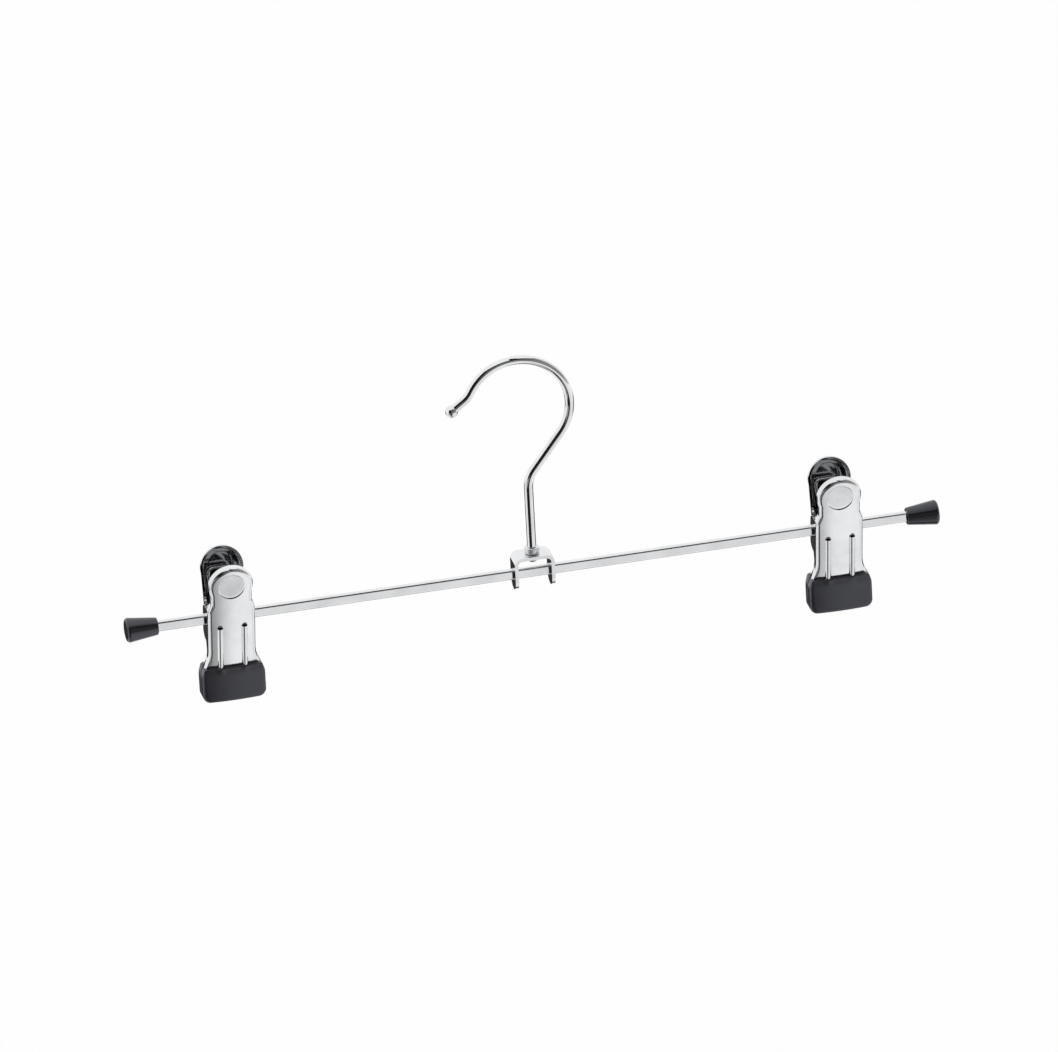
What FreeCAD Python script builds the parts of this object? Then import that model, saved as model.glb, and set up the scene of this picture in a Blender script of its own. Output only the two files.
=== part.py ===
"""Skirt hanger: a swivel hook on a flat bar with two sliding spring clips.

Millimetres and degrees. +X runs along the bar, -Y faces the viewer, +Z is up.
The origin is where the rail carries the hook, on the inner side of its loop above the swivel.
"""

import math
import os
import re
from collections import namedtuple

import FreeCAD
import Part
import Sketcher
from FreeCAD import Placement, Rotation, Vector

SIZES = {
    # bar, a flat strip on edge
    "bar_length": 306.0,
    "bar_height": 4.0,
    "bar_depth": 2.5,
    "bar_edge": 0.8,
    "bar_drop": 85.1,  # from the rail seat down to the bar's axis
    # end caps
    "cap_length": 12.0,
    "cap_wide": 9.6,
    "cap_narrow": 6.5,
    "cap_rim": 1.1,
    "cap_lip": 0.5,
    "cap_floor": 2.0,
    "cap_fit": 0.05,
    # saddle, a strip bent to a U
    "saddle_length": 15.2,
    "saddle_width": 8.2,
    "saddle_sheet": 1.3,
    "saddle_rise": 7.6,  # top of the plate above the bar's axis
    "saddle_foot": 6.0,  # end of a leg below the bar's axis
    "saddle_bend": 3.0,
    "saddle_fit": 0.05,
    # hook
    "hook_wire": 3.4,
    "hook_radius": 19.8,  # centre line of the loop
    "hook_offset": 2.6,  # loop's centre to the left of the shank
    "hook_slant": 38.0,  # slanted stretch, from the vertical
    "hook_bend": 11.0,
    "hook_loop_end": 152.0,  # where the loop ends, from +X
    "hook_lip_radius": 10.0,
    "hook_lip_turn": 26.0,
    "hook_lip_length": 5.5,
    "hook_ball": 4.8,
    "collar_width": 5.6,
    "collar_height": 2.5,
    "collar_edge": 0.5,
    "head_width": 5.8,
    "head_height": 1.7,
    "swivel_play": 0.1,
    # clip jaws, measured along and across the plate, from the bar's axis
    "clip_inset": 37.0,  # from the bar's end to the middle of a clip
    "jaw_sheet": 0.8,
    "jaw_offset": 6.6,  # bar's axis to the outer face of the plate
    "jaw_lean": 10.0,
    "jaw_crown": 65.0,  # radius of the plate's bow from side to side
    "jaw_roll": 1.6,  # outer radius of the rolled edge
    "dome_radius": 8.4,
    "dome_trim": 0.3,  # how much smaller the back jaw's dome is
    "dome_height": 17.0,
    "dome_lift": 1.0,  # how much higher it stands
    "neck_width": 15.7,
    "neck_round": 5.0,
    "ear_width": 18.0,
    "ear_play": 0.25,
    "ear_depth": 9.8,
    "ear_top": 5.8,
    "ear_low": 8.6,
    "ear_round": 3.0,
    "shoulder_top": 9.6,
    "shoulder_low": 6.6,
    "shoulder_round": 3.0,
    "flare_top": 14.2,
    "flare_round": 14.0,
    "foot_width": 21.6,
    "pan_low": 19.2,
    "flange_depth": 3.0,
    "notch_round": 2.2,
    "skirt_top": 4.6,  # depth of the flange just below the ear
    "skirt_low": 2.0,  # depth of the flange at the foot
    "skirt_round": 1.0,
    "disc_radius": 5.3,
    "disc_slope": 0.4,
    "disc_depth": 0.35,
    "disc_boss": 0.25,  # how far the disc stands out on the inside
    "disc_lift": 0.4,  # disc's centre above the dome's
    "rib_spacing": 9.2,
    "rib_radius": 1.2,
    "rib_sink": 0.2,
    "rib_top": 0.7,
    "rib_bore": 0.8,
    "mouth_radius": 0.95,  # dimple at the rib's open upper end
    "mouth_lift": 0.35,
    "pivot_play": 0.1,
    "key_play": 0.1,
    "tongue_width": 19.6,
    "tongue_length": 10.2,
    "tongue_lap": 0.6,
    # boots
    "boot_wall": 1.2,  # beyond the foot's width on each side
    "boot_rim": 0.1,  # the same at the top edge
    "boot_cover": 1.65,  # over the tongue's outer face
    "boot_lap": 0.85,  # up over the foot of the pan
    "boot_sole": 2.75,  # below the tongue
    "boot_slope": 3.2,
    "boot_round": 12.0,
    "boot_corner": 2.6,
    "boot_edge": 1.1,
    "boot_lip": 0.45,
    "grip_gap": 0.3,
    # torsion springs
    "spring_wire": 1.3,
    "spring_mean": 6.2,
    "spring_turns": 4.0,
    "spring_pitch": 1.8,
    "spring_leg": 18.0,
    "spring_foot": 7.0,
    "spring_bend": 2.2,
    "spring_seat": 0.6,  # air between a leg's end and the plate that it pushes
}
SELF_GAP_LIMIT = 0.4
POINT_STEP = 0.25
NEIGHBOUR_WIRES = 4
TOUCH = 1e-3
TINY = 1e-6
NAME = re.compile(r"[a-z][a-z_]+")
SHEET_NAME = "Sizes"
SIDES = {"left": -1, "right": 1}
OUTWARD = {"front": -1, "back": 1}
ALONG, DEEP, UP = Vector(1, 0, 0), Vector(0, 1, 0), Vector(0, 0, 1)

# Places that several pieces share. The foot is where a jaw's pan ends inside the boot.
CLIP_MIDDLE = "(bar_length / 2 - clip_inset)"
BAR_CORNER = "(sqrt((bar_height / 2 - bar_edge) ^ 2 + (bar_depth / 2 - bar_edge) ^ 2) + bar_edge)"
SADDLE_TOP = "(saddle_rise - bar_drop)"
BACK_HALF_WIDTH = "(ear_width / 2 - jaw_sheet - ear_play)"
FOOT_FACE = "(jaw_offset * cos(jaw_lean) - pan_low * sin(jaw_lean))"
FOOT_DROP = "(jaw_offset * sin(jaw_lean) + pan_low * cos(jaw_lean))"
TONGUE_LOW = f"({FOOT_DROP} + tongue_length)"

# Radius of a jaw's dome, and the height of its middle above the bar's axis.
DOMES = {
    "front": ("dome_radius", "dome_height"),
    "back": ("(dome_radius - dome_trim)", "(dome_height + dome_lift)"),
}

# A corner of an outline. Where an arc leaves it, the arc's centre and whether it turns left follow.
Corner = namedtuple("Corner", "across up centre left", defaults=(None, True))

doc = FreeCAD.newDocument("skirt_hanger")


def make_sheet():
    """Writes every driving size to a sheet, one named cell each."""
    sheet = doc.addObject("Spreadsheet::Sheet", SHEET_NAME)
    for row, (name, size) in enumerate(SIZES.items(), 1):
        sheet.set(f"A{row}", name)
        sheet.set(f"B{row}", str(size))
        sheet.setAlias(f"B{row}", name)
    doc.recompute()
    return sheet


sizes = make_sheet()


def formula(text):
    """Points each size name in a formula at its cell."""

    def cell(match):
        name = match.group()
        return f"{SHEET_NAME}.{name}" if name in SIZES else name

    return NAME.sub(cell, text)


def number(text):
    """The present value of a formula."""
    found = sizes.evalExpression(formula(text))
    return float(getattr(found, "Value", found))


def spot(place):
    """The present point of a pair of formulas, in a sketch's own plane."""
    return Vector(number(place[0]), number(place[1]), 0)


def bind(target, **formulas):
    """Drives properties of a document object by formulas, "Base_x" standing for Placement.Base.x."""
    for key, text in formulas.items():
        path = key.replace("Base_", "Placement.Base.").replace("Turn", "Placement.Rotation.Angle")
        target.setExpression(path, formula(text))


def new_sketch(body, name, role):
    """An empty sketch on one of the body's origin planes."""
    sketch = body.newObject("Sketcher::SketchObject", name)
    plane = next(part for part in body.Origin.OriginFeatures if part.Role == role)
    sketch.AttachmentSupport = [(plane, "")]
    sketch.MapMode = "FlatFace"
    return sketch


def hold(sketch, kind, place, text):
    """Holds one coordinate of a sketch point to a formula."""
    size = number(text)
    axis = -2 if kind == "DistanceX" else -1
    if abs(size) < TINY:
        sketch.addConstraint(Sketcher.Constraint("PointOnObject", *place, axis))
        return
    ends = (-1, 1, *place) if size > 0 else (*place, -1, 1)
    index = sketch.addConstraint(Sketcher.Constraint(kind, *ends, abs(size)))
    sketch.setExpression(f"Constraints[{index}]", formula(text if size > 0 else f"-({text})"))


def arc_about(centre, start, end, left):
    """The arc about a centre from start to end, and which of its ends comes first along the outline."""
    radius = (start - centre).Length
    first, last = (start, end) if left else (end, start)
    opening = math.atan2(first.y - centre.y, first.x - centre.x)
    closing = math.atan2(last.y - centre.y, last.x - centre.x)
    if closing < opening:
        closing += 2 * math.pi
    arc = Part.ArcOfCircle(Part.Circle(centre, UP, radius), opening, closing)
    return arc, (1, 2) if left else (2, 1)


def outline(body, name, role, corners, closed=True):
    """A sketch of lines and arcs through corners that are given as formulas."""
    sketch = new_sketch(body, name, role)
    corners = [Corner(*corner) for corner in corners]
    points = [spot(corner) for corner in corners]
    count = len(corners) if closed else len(corners) - 1
    ends = []
    for index in range(count):
        start, end = points[index], points[(index + 1) % len(points)]
        curve, order = Part.LineSegment(start, end), (1, 2)
        if corners[index].centre:
            curve, order = arc_about(spot(corners[index].centre), start, end, corners[index].left)
        sketch.addGeometry(curve, False)
        ends.append(order)
    for index in range(count):
        following = (index + 1) % count
        if closed or following:
            joint = (index, ends[index][1], following, ends[following][0])
            sketch.addConstraint(Sketcher.Constraint("Coincident", *joint))
    places = [(index, ends[index][0]) for index in range(count)]
    if not closed:
        places.append((count - 1, ends[-1][1]))
    for index, (place, corner) in enumerate(zip(places, corners)):
        hold(sketch, "DistanceX", place, corner.across)
        hold(sketch, "DistanceY", place, corner.up)
        if corner.centre:
            level = near(points[index].y, points[(index + 1) % len(points)].y)
            kind, text = ("DistanceY", corner.centre[1]) if level else ("DistanceX", corner.centre[0])
            hold(sketch, kind, (index, 3), text)
    return sketch


def circle(body, name, role, centre, radius):
    """A sketch of a circle whose centre and radius are formulas."""
    sketch = new_sketch(body, name, role)
    sketch.addGeometry(Part.Circle(spot(centre), UP, number(radius)), False)
    hold(sketch, "DistanceX", (0, 3), centre[0])
    hold(sketch, "DistanceY", (0, 3), centre[1])
    index = sketch.addConstraint(Sketcher.Constraint("Radius", 0, number(radius)))
    sketch.setExpression(f"Constraints[{index}]", formula(radius))
    return sketch


def pad(body, name, sketch, ahead, behind=None):
    """A pad along the sketch's normal, or to both sides of the sketch where behind is given."""
    feature = body.newObject("PartDesign::Pad", name)
    feature.Profile = sketch
    if behind is None:
        feature.SideType = "Symmetric"
        bind(feature, Length=ahead)
    else:
        feature.SideType = "Two sides"
        bind(feature, Length=ahead, Length2=behind)
    return feature


def pocket_through(body, name, sketch):
    """A cut through the whole body, to both sides of the sketch."""
    feature = body.newObject("PartDesign::Pocket", name)
    feature.Profile = sketch
    feature.SideType = "Symmetric"
    feature.Type = "ThroughAll"
    return feature


def primitive(body, kind, name, turn=None, **formulas):
    """A primitive feature of a body, placed and sized by formulas, with an optional (axis, formula) turn."""
    feature = body.newObject(f"PartDesign::{kind}", name)
    if turn:
        feature.Placement = Placement(Vector(), Rotation(turn[0], number(turn[1])))
        bind(feature, Turn=turn[1])
    bind(feature, **formulas)
    return feature


def round_edges(body, name, radius, chosen):
    """Rounds the edges of a body's present shape that the test picks."""
    doc.recompute()
    base = body.Tip
    names = [f"Edge{index}" for index, edge in enumerate(base.Shape.Edges, 1) if chosen(edge)]
    feature = body.newObject("PartDesign::Fillet", name)
    feature.Base = (base, names)
    bind(feature, Radius=radius)
    doc.recompute()
    return feature


def runs(edge, axis):
    """Whether an edge is straight and runs along an axis."""
    if not isinstance(edge.Curve, (Part.Line, Part.LineSegment)):
        return False
    step = edge.Vertexes[-1].Point - edge.Vertexes[0].Point
    return step.Length > TINY and abs(abs(step.normalize().dot(axis)) - 1) < TINY


def near(first, second):
    """Whether two lengths agree."""
    return abs(first - second) < TOUCH


def lies_at(thing, **places):
    """Whether every point of an edge or a face has the given coordinates."""
    box = thing.BoundBox
    spans = {"x": (box.XMin, box.XMax), "y": (box.YMin, box.YMax), "z": (box.ZMin, box.ZMax)}
    return all(near(bound, wanted) for axis, wanted in places.items() for bound in spans[axis])


def both_signs(text, sign):
    """A formula or its negative."""
    return text if sign > 0 else f"-({text})"


def make_bar():
    """The flat bar with its four long edges eased."""
    body = doc.addObject("PartDesign::Body", "bar")
    signs = ((-1, -1), (1, -1), (1, 1), (-1, 1))
    corners = [(both_signs("bar_depth / 2", deep), both_signs("bar_height / 2", tall)) for deep, tall in signs]
    pad(body, "bar_stock", outline(body, "bar_section", "YZ_Plane", corners), "bar_length")
    round_edges(body, "bar_easing", "bar_edge", lambda edge: runs(edge, ALONG))
    bind(body, Base_z="-bar_drop")
    return body


def make_cap(side):
    """A cone with a rounded rim, pushed on one end of the bar by a blind socket."""
    sign = SIDES[side]
    body = doc.addObject("PartDesign::Body", f"{side}_end_cap")
    inner = both_signs("bar_length / 2 + cap_floor - cap_length", sign)
    outer = both_signs("bar_length / 2 + cap_floor", sign)
    corners = [(inner, "0"), (outer, "0"), (outer, "cap_wide / 2"), (inner, "cap_narrow / 2")]
    sketch = outline(body, f"{side}_cap_half", "XZ_Plane", corners)
    turned = body.newObject("PartDesign::Revolution", f"{side}_cap_cone")
    turned.Profile = sketch
    turned.ReferenceAxis = (sketch, ["H_Axis"])
    turned.Angle = 360.0
    end, mouth = number(outer), number(inner)
    round_edges(body, f"{side}_cap_rim", "cap_rim", lambda edge: lies_at(edge, x=end))
    round_edges(body, f"{side}_cap_lip", "cap_lip", lambda edge: lies_at(edge, x=mouth))
    primitive(
        body, "SubtractiveBox", f"{side}_cap_socket",
        Length="cap_length - cap_floor", Width="bar_depth + 2 * cap_fit", Height="bar_height + 2 * cap_fit",
        Base_x=inner if sign > 0 else "-bar_length / 2",
        Base_y="-bar_depth / 2 - cap_fit", Base_z="-bar_height / 2 - cap_fit",
    )
    bind(body, Base_z="-bar_drop")
    return body


def make_saddle():
    """The U strip that stands on the bar, with slots for the bar and a hole for the hook."""
    body = doc.addObject("PartDesign::Body", "saddle")
    half, inside, under = "saddle_length / 2", "saddle_length / 2 - saddle_sheet", "saddle_rise - saddle_sheet"
    corners = [
        (f"-{half}", "-saddle_foot"), (f"-({inside})", "-saddle_foot"), (f"-({inside})", under), (inside, under),
        (inside, "-saddle_foot"), (half, "-saddle_foot"), (half, "saddle_rise"), (f"-{half}", "saddle_rise"),
    ]
    pad(body, "saddle_strip", outline(body, "saddle_bow", "XZ_Plane", corners), "saddle_width")
    top, low, foot = number("saddle_rise"), number(under), -number("saddle_foot")
    round_edges(
        body, "saddle_outer_bend", "saddle_bend", lambda edge: runs(edge, DEEP) and lies_at(edge, z=top)
    )
    round_edges(
        body, "saddle_inner_bend", "saddle_bend - saddle_sheet",
        lambda edge: runs(edge, DEEP) and lies_at(edge, z=low),
    )
    round_edges(
        body, "saddle_feet", "saddle_width / 2 - saddle_fit",
        lambda edge: runs(edge, ALONG) and lies_at(edge, z=foot),
    )
    primitive(
        body, "SubtractiveBox", "saddle_slots",
        Length="2 * saddle_length", Width="bar_depth + 2 * saddle_fit", Height="bar_height + 2 * saddle_fit",
        Base_x="-saddle_length", Base_y="-bar_depth / 2 - saddle_fit", Base_z="-bar_height / 2 - saddle_fit",
    )
    primitive(
        body, "SubtractiveCylinder", "saddle_bore",
        Radius="hook_wire / 2 + swivel_play", Height="3 * saddle_sheet", Base_z="saddle_rise - 2 * saddle_sheet",
    )
    bind(body, Base_z="-bar_drop")
    return body


def round_a(centre, radius, angle):
    """The point of a circle at an angle, all as formulas."""
    return f"{centre[0]} + {radius} * cos({angle})", f"{centre[1]} + {radius} * sin({angle})"


def hook_spine():
    """Corners of the hook's centre line: shank, bend, slanted stretch, loop, lip and tip."""
    loop = ("-hook_offset", "-sqrt((hook_radius - hook_wire / 2) ^ 2 - hook_offset ^ 2)")
    joint = round_a(loop, "hook_radius", "-hook_slant")
    knee = f"{joint[1]} - ({joint[0]}) / tan(hook_slant)"
    set_back = "hook_bend * tan(hook_slant / 2)"
    bend_start = ("0", f"{knee} - {set_back}")
    bend_end = (f"{set_back} * sin(hook_slant)", f"{knee} + {set_back} * cos(hook_slant)")
    lip_start = round_a(loop, "hook_radius", "hook_loop_end")
    lip = round_a(loop, "(hook_radius + hook_lip_radius)", "hook_loop_end")
    lip_end = round_a(lip, "hook_lip_radius", "hook_loop_end + 180 - hook_lip_turn")
    tip = round_a(lip_end, "hook_lip_length", "hook_loop_end + 90 - hook_lip_turn")
    return [
        ("0", SADDLE_TOP), (*bend_start, ("hook_bend", bend_start[1]), False), bend_end,
        (*joint, loop, True), (*lip_start, lip, False), lip_end, tip,
    ]


def make_hook():
    """Bent wire with an upset collar, a peened head and a ball on its tip."""
    body = doc.addObject("PartDesign::Body", "hook")
    primitive(
        body, "AdditiveCylinder", "hook_collar",
        Radius="collar_width / 2", Height="collar_height", Base_z=f"{SADDLE_TOP} + swivel_play",
    )
    round_edges(body, "hook_collar_easing", "collar_edge", lambda edge: edge.BoundBox.ZLength < TINY)
    head_low = f"{SADDLE_TOP} - saddle_sheet - swivel_play - head_height"
    primitive(
        body, "AdditiveCylinder", "hook_rivet",
        Radius="hook_wire / 2", Height="head_height + saddle_sheet + 2 * swivel_play + collar_height / 2",
        Base_z=head_low,
    )
    primitive(
        body, "AdditiveCone", "hook_head",
        Radius1="hook_wire / 2", Radius2="head_width / 2", Height="head_height", Base_z=head_low,
    )
    corners = hook_spine()
    spine = outline(body, "hook_centre_line", "XZ_Plane", corners, closed=False)
    ring = circle(body, "hook_wire_section", "XY_Plane", ("0", "0"), "hook_wire / 2")
    ring.setExpression("AttachmentOffset.Base.z", formula(SADDLE_TOP))
    doc.recompute()
    bent = body.newObject("PartDesign::AdditivePipe", "hook_wire_bent")
    bent.Profile = ring
    bent.Spine = (spine, [f"Edge{index}" for index in range(1, len(corners))])
    doc.recompute()
    tip = corners[-1]
    primitive(body, "AdditiveSphere", "hook_ball_tip", Radius="hook_ball / 2", Base_x=tip[0], Base_z=tip[1])
    return body


def inward(place, text):
    """Y of a plane some way in from the outer face of a jaw that doesn't lean yet."""
    return both_signs(f"(jaw_offset - ({text}))", OUTWARD[place])


def pad_jaw(body, place, sketch):
    """Pads a jaw's outline from the outer face to the rear edge of its ears."""
    spans = ("jaw_offset", "ear_depth - jaw_offset")
    return pad(body, f"{sketch.Name}_pad", sketch, *(spans if place == "front" else spans[::-1]))


def bow_drop(across):
    """How far the bowed plate falls back at a distance from its middle line, as formulas."""
    return f"(jaw_crown - sqrt(jaw_crown ^ 2 - ({across}) ^ 2))"


def is_bow(side):
    """Whether a face is the bowed outer face of a plate."""
    return isinstance(side.Surface, Part.Cylinder) and near(side.Surface.Radius, number("jaw_crown"))


def bow_plate(body, place):
    """Cuts a plate's flat outer face to a slight bow from side to side."""
    edge, air = inward(place, bow_drop("foot_width")), inward(place, "-jaw_sheet")
    corners = [
        ("-foot_width", edge, ("0", inward(place, "jaw_crown")), place == "front"),
        ("foot_width", edge), ("foot_width", air), ("-foot_width", air),
    ]
    name = f"{body.Name}_bow"
    pocket_through(body, name, outline(body, f"{name}_outline", "XY_Plane", corners))
    doc.recompute()


def make_pan(body, place):
    """The hollow pan of a jaw: plate and dome with a rolled edge. The back ears fit between the front ones."""
    name = body.Name
    half = "neck_width / 2" if place == "front" else BACK_HALF_WIDTH
    dome, middle = DOMES[place]
    right = [(half, middle)]
    if place == "front":
        right += [(half, "shoulder_top"), ("ear_width / 2", "shoulder_low")]
    right += [(right[-1][0], "-flare_top"), ("foot_width / 2", "-pan_low")]
    left = [(f"-({across})", up) for across, up in reversed(right)]
    pad_jaw(body, place, outline(body, f"{name}_plate", "XZ_Plane", right + left))
    pad_jaw(body, place, circle(body, f"{name}_dome", "XZ_Plane", ("0", middle), dome))

    def corner_at(*heights):
        wanted = [number(text) for text in heights]
        return lambda edge: runs(edge, DEEP) and any(near(edge.Vertexes[0].Point.z, up) for up in wanted)

    round_edges(body, f"{name}_neck", "neck_round", corner_at(f"{middle} - sqrt({dome} ^ 2 - ({half}) ^ 2)"))
    if place == "front":
        round_edges(body, f"{name}_shoulder", "shoulder_round", corner_at("shoulder_top", "shoulder_low"))
    round_edges(body, f"{name}_flare", "flare_round", corner_at("-flare_top"))
    bow_plate(body, place)
    rear, low = number(inward(place, "ear_depth")), -number("pan_low")
    bowed = next(side for side in body.Tip.Shape.Faces if is_bow(side))
    round_edges(
        body, f"{name}_rolled_edge", "jaw_roll",
        lambda edge: any(edge.isSame(rim) for rim in bowed.Edges) and not lies_at(edge, z=low),
    )
    base = body.Tip
    open_faces = [
        f"Face{index}" for index, side in enumerate(base.Shape.Faces, 1)
        if lies_at(side, y=rear) or lies_at(side, z=low)
    ]
    wall = body.newObject("PartDesign::Thickness", f"{name}_wall")
    wall.Base = (base, open_faces)
    wall.Mode = "Skin"
    wall.Join = "Arc"
    wall.Reversed = True
    bind(wall, Value="jaw_sheet")


def cut_flanges(body, place):
    """Trims the pan's side walls to a flange above, round-cornered ears at the bar and a narrowing skirt below."""
    clear = inward(place, "ear_depth + jaw_sheet")
    above, below = f"{DOMES[place][1]} + 2 * dome_radius", "-pan_low - jaw_sheet"
    flange, bottom = inward(place, "flange_depth"), inward(place, "flange_depth + notch_round")
    rear, rounding = inward(place, "ear_depth"), inward(place, "ear_depth - ear_round")
    skirt, skirt_start = inward(place, "skirt_top"), inward(place, "skirt_top + skirt_round")
    foot = inward(place, "skirt_low")
    leftward = place == "front"
    notch = [
        (flange, above),
        (flange, "ear_top + notch_round", (bottom, "ear_top + notch_round"), leftward),
        (bottom, "ear_top"),
        (rounding, "ear_top", (rounding, "ear_top - ear_round"), not leftward),
        (rear, "ear_top - ear_round"), (clear, "ear_top - ear_round"), (clear, above),
    ]
    skirt = [
        (clear, "-ear_low + ear_round"),
        (rear, "-ear_low + ear_round", (rounding, "-ear_low + ear_round"), not leftward),
        (rounding, "-ear_low"),
        (skirt_start, "-ear_low", (skirt_start, "-ear_low - skirt_round"), leftward),
        (skirt, "-ear_low - skirt_round"),
        (foot, "-pan_low"), (foot, below), (clear, below),
    ]
    for part, corners in (("notch", notch), ("skirt", skirt)):
        name = f"{body.Name}_{part}"
        pocket_through(body, name, outline(body, f"{name}_outline", "YZ_Plane", corners))


def cut_bearing(body, place):
    """The holes for the bar: round ones that turn on its corners in front, keyed ones behind."""
    if place == "front":
        primitive(
            body, "SubtractiveCylinder", f"{body.Name}_pivot", (DEEP, "90"),
            Radius=f"{BAR_CORNER} + pivot_play", Height="2 * ear_width", Base_x="-ear_width",
        )
        return
    half_deep, half_tall = "(bar_depth / 2 + key_play)", "(bar_height / 2 + key_play)"
    primitive(
        body, "SubtractiveBox", f"{body.Name}_key", (ALONG, "jaw_lean"),
        Length="2 * ear_width", Width=f"2 * {half_deep}", Height=f"2 * {half_tall}", Base_x="-ear_width",
        Base_y=f"-{half_deep} * cos(jaw_lean) + {half_tall} * sin(jaw_lean)",
        Base_z=f"-{half_deep} * sin(jaw_lean) - {half_tall} * cos(jaw_lean)",
    )


def raise_ribs(body, place):
    """Two hollow ribs up the plate, each with an open, rounded upper end."""
    for side, sign in SIDES.items():
        name = f"{body.Name}_{side}_rib"
        depth = f"rib_sink + {bow_drop('rib_spacing / 2')}"
        line = {"Base_x": both_signs("rib_spacing / 2", sign), "Base_y": inward(place, depth)}
        tall = "pan_low - rib_top"
        primitive(body, "AdditiveCylinder", name, Radius="rib_radius", Height=tall, Base_z="-pan_low", **line)
        primitive(
            body, "SubtractiveCylinder", f"{name}_bore",
            Radius="rib_bore", Height=f"{tall} + jaw_sheet", Base_z="-pan_low - jaw_sheet", **line,
        )
        primitive(
            body, "SubtractiveSphere", f"{name}_mouth", Radius="mouth_radius", Base_z="mouth_lift - rib_top", **line
        )


def press_disc(body, place):
    """The thumb disc, pressed into the dome, with its boss on the inside."""
    square_on = (ALONG, both_signs("90", -OUTWARD[place]))
    middle = f"{DOMES[place][1]} + disc_lift"
    primitive(
        body, "AdditiveCone", f"{body.Name}_disc_boss", square_on,
        Radius1="disc_radius - disc_slope", Radius2="disc_radius", Height="2 * disc_boss",
        Base_y=inward(place, "jaw_sheet + disc_boss"), Base_z=middle,
    )
    primitive(
        body, "SubtractiveCone", f"{body.Name}_disc", square_on,
        Radius1="disc_radius - disc_slope", Radius2="disc_radius + disc_slope", Height="2 * disc_depth",
        Base_y=inward(place, "disc_depth"), Base_z=middle,
    )


def add_tongue(body, place, lean):
    """The upright tongue below the pan that the boot is moulded on."""
    outer_face = f"-{FOOT_FACE}" if place == "front" else f"({FOOT_FACE} - jaw_sheet)"
    primitive(
        body, "AdditiveBox", f"{body.Name}_tongue", (ALONG, f"-({lean})"),
        Length="tongue_width", Width="jaw_sheet", Height="tongue_length + tongue_lap",
        Base_x="-tongue_width / 2",
        Base_y=f"{outer_face} * cos({lean}) - {TONGUE_LOW} * sin({lean})",
        Base_z=f"-({outer_face}) * sin({lean}) - {TONGUE_LOW} * cos({lean})",
    )


def make_jaw(side, place):
    """A stamped jaw: domed lever with a thumb disc, ears on the bar, two ribs and a hidden tongue."""
    body = doc.addObject("PartDesign::Body", f"{side}_{place}_jaw")
    lean = both_signs("jaw_lean", -OUTWARD[place])
    make_pan(body, place)
    cut_flanges(body, place)
    cut_bearing(body, place)
    raise_ribs(body, place)
    press_disc(body, place)
    add_tongue(body, place, lean)
    body.Placement = Placement(Vector(), Rotation(ALONG, number(lean)))
    bind(body, Turn=lean, Base_x=both_signs(CLIP_MIDDLE, SIDES[side]), Base_z="-bar_drop")
    return body


def make_boot(side, place, jaw):
    """A soft tip moulded round the foot of a jaw."""
    outward = OUTWARD[place]
    name = f"{side}_{place}_boot"
    body = doc.addObject("PartDesign::Body", f"{name}_block")
    top, low = f"-({FOOT_DROP} - boot_lap)", f"-({TONGUE_LOW} + boot_sole)"
    half, half_top = "foot_width / 2 + boot_wall", "foot_width / 2 + boot_rim"
    shoulder = f"{top} - boot_slope"
    right = [(half_top, top), (half, shoulder), (half, low)]
    left = [(f"-({across})", up) for across, up in reversed(right)]
    spans = (f"{FOOT_FACE} + boot_cover", "-grip_gap / 2")
    sketch = outline(body, f"{name}_outline", "XZ_Plane", right + left)
    pad(body, f"{name}_stock", sketch, *(spans if place == "front" else spans[::-1]))
    top_z, low_z, shoulder_z = number(top), number(low), number(shoulder)
    outer, inner = outward * number(spans[0]), outward * number("grip_gap / 2")
    round_edges(
        body, f"{name}_shoulders", "boot_round", lambda edge: runs(edge, DEEP) and lies_at(edge, z=shoulder_z)
    )
    round_edges(
        body, f"{name}_corners", "boot_corner", lambda edge: runs(edge, DEEP) and lies_at(edge, z=low_z)
    )
    round_edges(
        body, f"{name}_outer_edge", "boot_edge", lambda edge: lies_at(edge, y=outer) and not lies_at(edge, z=top_z)
    )
    round_edges(
        body, f"{name}_lip", "boot_lip",
        lambda edge: lies_at(edge, y=outer, z=top_z) or lies_at(edge, y=inner) and not lies_at(edge, z=top_z),
    )
    bind(body, Base_x=both_signs(CLIP_MIDDLE, SIDES[side]), Base_z="-bar_drop")
    boot = doc.addObject("Part::Cut", name)
    boot.Base = body
    boot.Tool = jaw
    return boot


def arc_from(start, heading, end):
    """The arc that leaves start along a heading and meets end."""
    chord = end - start
    straight = Vector(chord).normalize()
    ahead = max(-1.0, min(1.0, heading.dot(straight)))
    swing = math.acos(ahead)
    aside = (heading - straight * ahead).normalize()
    halfway = start + chord * 0.5 + aside * (chord.Length / 2 * math.tan(swing / 2))
    return Part.Arc(start, halfway, end)


def biarc(start, leaving, end, arriving):
    """Two arcs that join start to end and keep both headings."""
    span = end - start
    square = 2 * (1 - leaving.dot(arriving))
    along_both = span.dot(leaving + arriving)
    if square < TINY:
        reach = span.dot(span) / (2 * along_both)
    else:
        reach = (-along_both + math.sqrt(along_both ** 2 + square * span.dot(span))) / square
    middle = (start + leaving * reach + end - arriving * reach) * 0.5
    first = arc_from(start, leaving, middle)
    second = arc_from(end, arriving * -1, middle)
    return [first.toShape(), second.toShape()]


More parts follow.
